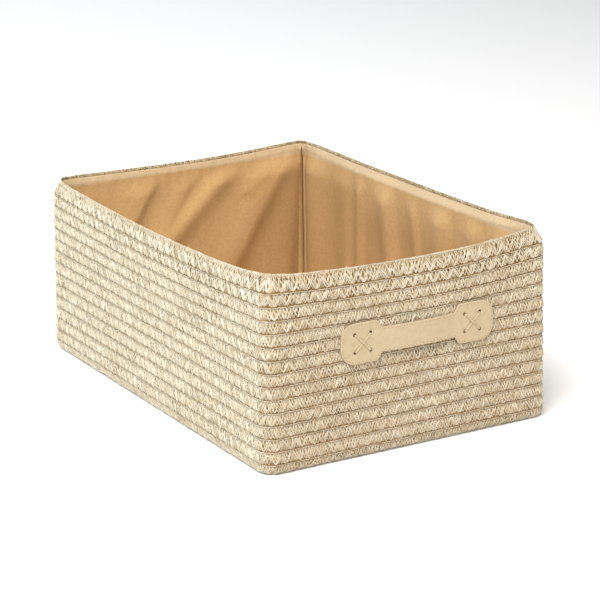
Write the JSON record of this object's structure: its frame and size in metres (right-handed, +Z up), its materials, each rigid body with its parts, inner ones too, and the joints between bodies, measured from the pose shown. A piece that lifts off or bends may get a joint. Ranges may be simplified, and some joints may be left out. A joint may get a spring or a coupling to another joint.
{
  "type": "fabric storage bin",
  "caption": "Open-topped rectangular storage bin of lapped plaited straw-look tape with a loose cloth lining and a laced strap handle on each short wall.",
  "frame": {"origin": "middle of the underside, on the surface that the bin stands on", "axes": "+Z up; the bin's length is along Y and its width along X; the front short wall, with the handle that the picture shows, faces -Y"},
  "size_m": [0.2716, 0.4032, 0.16],
  "materials": {
    "plaited_straw": "satin",
    "cotton_lining": "matte",
    "stiff_board": "matte",
    "cream_strap": "satin",
    "cream_lace": "matte"
  },
  "bodies": {
    "shell": {"braid_course_01": "plaited_straw", "braid_course_02": "plaited_straw", "braid_course_03": "plaited_straw", "braid_course_04": "plaited_straw", "braid_course_05": "plaited_straw", "braid_course_06": "plaited_straw", "braid_course_07": "plaited_straw", "braid_course_08": "plaited_straw", "braid_course_09": "plaited_straw", "braid_course_10": "plaited_straw", "braid_course_11": "plaited_straw", "braid_course_12": "plaited_straw", "braid_course_13": "plaited_straw", "braid_course_14": "plaited_straw", "braid_course_15": "plaited_straw", "base_braid": "plaited_straw", "wall_stiffener": "stiff_board", "base_board": "stiff_board", "lining_front": "cotton_lining", "lining_right": "cotton_lining", "lining_back": "cotton_lining", "lining_left": "cotton_lining", "lining_base": "cotton_lining", "front_handle_tab_left": "cream_strap", "front_handle_tab_right": "cream_strap", "front_handle_cross_laces": "cream_lace", "back_handle_tab_left": "cream_strap", "back_handle_tab_right": "cream_strap", "back_handle_cross_laces": "cream_lace"},
    "front_grip": {"front_handle_grip": "cream_strap"},
    "back_grip": {"back_handle_grip": "cream_strap"}
  },
  "joints": [
    {"name": "front_grip_pull", "type": "slide", "parent": "shell", "child": "front_grip", "axis": [0, -1, 0], "range_m": [0, 0.01]},
    {"name": "back_grip_pull", "type": "slide", "parent": "shell", "child": "back_grip", "axis": [0, 1, 0], "range_m": [0, 0.01]}
  ]
}
